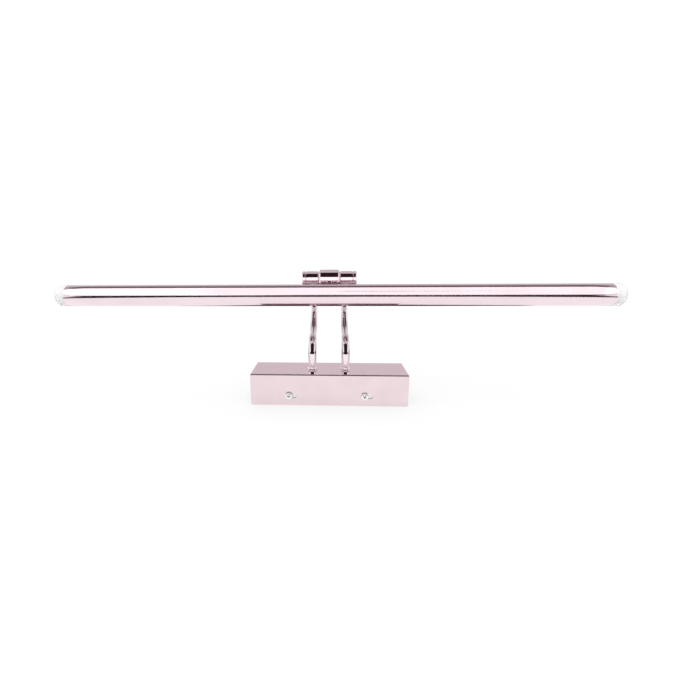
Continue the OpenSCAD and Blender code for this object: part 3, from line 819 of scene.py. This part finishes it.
def strip(name, points, colour):
    """A dark band through points of (x, y, low z, high z)."""
    verts = [(x, y, z) for x, y, low, high in points for z in (low, high)]
    faces = [(2 * k, 2 * k + 2, 2 * k + 3, 2 * k + 1) for k in range(len(points) - 1)]
    card(name, verts, faces, colour)


def patch(name, outline, colour):
    """A level dark card of painted shadow, seen only in reflections, just lower than the box's top, so that
    hardly any of the box reflects it.
    """
    card(name, [(x, y, CARD_HEIGHT) for x, y in outline], [tuple(range(len(outline)))], colour)


def area(name, where, target, size, radiance, only):
    """A softbox of even radiance that lights just the pieces whose names start with only."""
    data = bpy.data.lights.new(name, "AREA")
    data.shape, data.size, data.size_y = "RECTANGLE", *size
    data.energy = radiance * math.pi * size[0] * size[1]
    light = bpy.data.objects.new(name, data)
    light.matrix_world = facing(where, target)
    scene.collection.objects.link(light)
    light.visible_camera = False
    group = bpy.data.collections.new(name)
    for piece in bpy.data.objects:
        if piece.name.startswith(only):
            group.objects.link(piece)
    light.light_linking.receiver_collection = group


def arc(name, middle, low, high, span, radiance, only, distance=1.5):
    """A softbox along X in front, whose height spans the elevations low to high as seen from middle."""
    angle, half = math.radians((low + high) / 2), math.radians((high - low) / 2)
    x = (span[0] + span[1]) / 2
    where = (x, middle.y * MM - distance * math.cos(angle), middle.z * MM + distance * math.sin(angle))
    size = (span[1] - span[0], 2 * distance * math.tan(half))
    area(name, where, (x, middle.y * MM, middle.z * MM), size, radiance, only)


def floor():
    """A light table: it glows evenly, so that only faint shadows are left on it."""
    mesh = bpy.data.meshes.new("floor")
    corners = [(-1, -1), (1, -1), (1, 1), (-1, 1)]
    mesh.from_pydata([(x * FLOOR_HALF, y * FLOOR_HALF, 0) for x, y in corners], [], [(0, 1, 2, 3)])
    piece = placed("floor", mesh)
    piece.location.z = -FLOOR_DROP
    p = Paint("floor_paper").set(Roughness=0.9, Emission_Color=(1, 1, 1, 1), Emission_Strength=0.69)
    p.bsdf.inputs["Specular IOR Level"].default_value = 0.1
    tone = p.colours(p.noise(3, 3), [(0.3, (0.27, 0.27, 0.27)), (0.7, (0.29, 0.29, 0.29))])
    p.plug(p.bsdf.inputs["Base Color"], tone)
    mesh.materials.append(p.material)


def surroundings():
    """White for the eye; in reflections a dark lens side, a pale back, and bright far left and right."""
    world = bpy.data.worlds.new("studio")
    scene.world = world
    world.use_nodes = True
    tree = world.node_tree
    tree.nodes.clear()
    link = tree.links.new

    def math_node(kind, a, b=None):
        made = tree.nodes.new("ShaderNodeMath")
        made.operation = kind
        for k, value in enumerate((a, b)):
            if isinstance(value, bpy.types.NodeSocket):
                link(value, made.inputs[k])
            elif value is not None:
                made.inputs[k].default_value = value
        return made.outputs[0]

    def mix(factor, a, b):
        made = tree.nodes.new("ShaderNodeMix")
        made.data_type = "RGBA"
        for k, value in ((0, factor), (6, a), (7, b)):
            if isinstance(value, bpy.types.NodeSocket):
                link(value, made.inputs[k])
            else:
                made.inputs[k].default_value = value
        return made.outputs[2]

    split = tree.nodes.new("ShaderNodeSeparateXYZ")
    link(tree.nodes.new("ShaderNodeTexCoord").outputs["Generated"], split.inputs[0])
    front = math_node("MULTIPLY", split.outputs["Y"], -1.0)
    turn = math_node("DIVIDE", math_node("ARCTAN2", split.outputs["Z"], front), math.pi)
    ramp = tree.nodes.new("ShaderNodeValToRGB")
    link(turn, ramp.inputs["Fac"])
    dark = (0.022, 0.009, 0.014)
    stops = [(0, dark), (90, dark), (97, (0.16, 0.10, 0.12)), (112, (0.13, 0.08, 0.10)),
             (122, (0.36, 0.33, 0.35)), (144, (0.62,) * 3), (160, (0.72, 0.65, 0.69))]
    while len(ramp.color_ramp.elements) < len(stops):
        ramp.color_ramp.elements.new(0.5)
    for element, (angle, colour) in zip(ramp.color_ramp.elements, stops):
        element.position = angle / 180
        element.color = (*colour, 1)
    side = tree.nodes.new("ShaderNodeMapRange")
    side.interpolation_type = "SMOOTHSTEP"
    link(math_node("ABSOLUTE", split.outputs["X"]), side.inputs["Value"])
    side.inputs["From Min"].default_value, side.inputs["From Max"].default_value = SIDE_GLOW
    reflected = mix(side.outputs[0], ramp.outputs["Color"], (1.0, 0.99, 1.0, 1))
    seen = tree.nodes.new("ShaderNodeLightPath").outputs["Is Glossy Ray"]
    back = tree.nodes.new("ShaderNodeBackground")
    link(mix(seen, (1.0, 1.0, 1.0, 1), reflected), back.inputs["Color"])
    link(back.outputs[0], tree.nodes.new("ShaderNodeOutputWorld").inputs[0])


def sun(strength, turns, spread):
    data = bpy.data.lights.new("sun", "SUN")
    data.energy, data.angle = strength, math.radians(spread)
    light = bpy.data.objects.new("sun", data)
    light.rotation_euler = tuple(math.radians(t) for t in turns)
    scene.collection.objects.link(light)
    light.visible_glossy = False


floor()
surroundings()
sun(0.6, (25, -10, 0), 60)
arc("tube_front", LAMP, 8, 94, (-2.6, 2.6), 1.18, "tube_shell")
arc("tube_left", LAMP, 8, 94, (-2.8, -0.7), 0.18, "tube_shell", 1.6)
arc("front_low", KNUCKLE, -15, 22, (-1.5, 1.5), 1.3, ("knuckle", "sleeve"), 0.45)
arc("front_top", KNUCKLE, 86, 122, (-1.5, 1.5), 0.5, ("knuckle", "sleeve"))
arc("fold_low", Vector((0, -21, 33)), 0, 26, (-1.5, 1.5), 0.8, "cover_shell", 0.45)
arc("screw_front", Vector((0, -21, 10)), 2, 80, (-1.5, 1.5), 0.95, ("cover_screw", "rosette", "wall_bracket"))
arc("cap_front", LAMP, 2, 120, (-2.0, 2.0), 0.95, ("cap_", "seal_"))
bow = []
for x in [0.06 * k for k in range(-11, 12)]:
    centre_z, half = 0.114 - 0.28 * x ** 2, 0.098 - 0.10 * abs(x)
    bow.append((x, -0.55 + 0.9 * x ** 2, centre_z - half, centre_z + half))
strip("horizon", bow, MAROON)
strip("boom", [(0.03, -0.441, 0.552, 0.610), (0.15, -0.441, 0.556, 0.608), (0.30, -0.441, 0.568, 0.600),
               (0.50, -0.441, 0.580, 0.585)], (0.05, 0.03, 0.04))
# painted shadow: a dark card behind the box that stands in for the shade there, seen only in reflections
patch("lee", [(-0.20, 0.077), (-0.0815, 0.019), (-0.0815, 0.0225), (0.0815, 0.0225), (0.0815, 0.0086),
              (0.24, 0.036), (0.24, 0.085), (0.10, 0.15), (-0.07, 0.15), (-0.20, 0.10)], MAROON)
